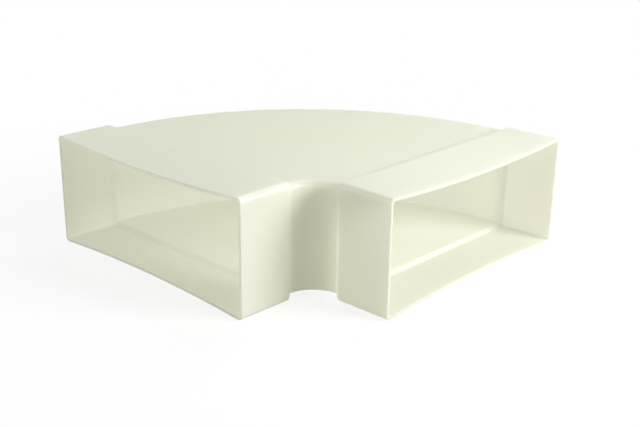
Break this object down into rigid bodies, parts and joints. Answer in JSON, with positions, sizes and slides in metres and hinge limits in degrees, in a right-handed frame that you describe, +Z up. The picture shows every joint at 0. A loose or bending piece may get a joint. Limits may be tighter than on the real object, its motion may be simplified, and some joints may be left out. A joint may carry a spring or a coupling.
{
  "type": "flat duct horizontal bend",
  "caption": "Right-angle horizontal bend for rectangular flat ventilation duct, with a push-fit socket at each mouth.",
  "frame": {"origin": "on the floor under the middle of the bounding box", "axes": "+Z up; one mouth faces -X, the other faces -Y, and the bend's outer corner points to +X +Y"},
  "size_m": [0.301, 0.301, 0.096],
  "materials": {
    "ivory_pvc": "semi-gloss moulded rigid PVC, ivory white"
  },
  "bodies": {
    "root": {"duct_bend": "ivory_pvc"}
  },
  "joints": []
}
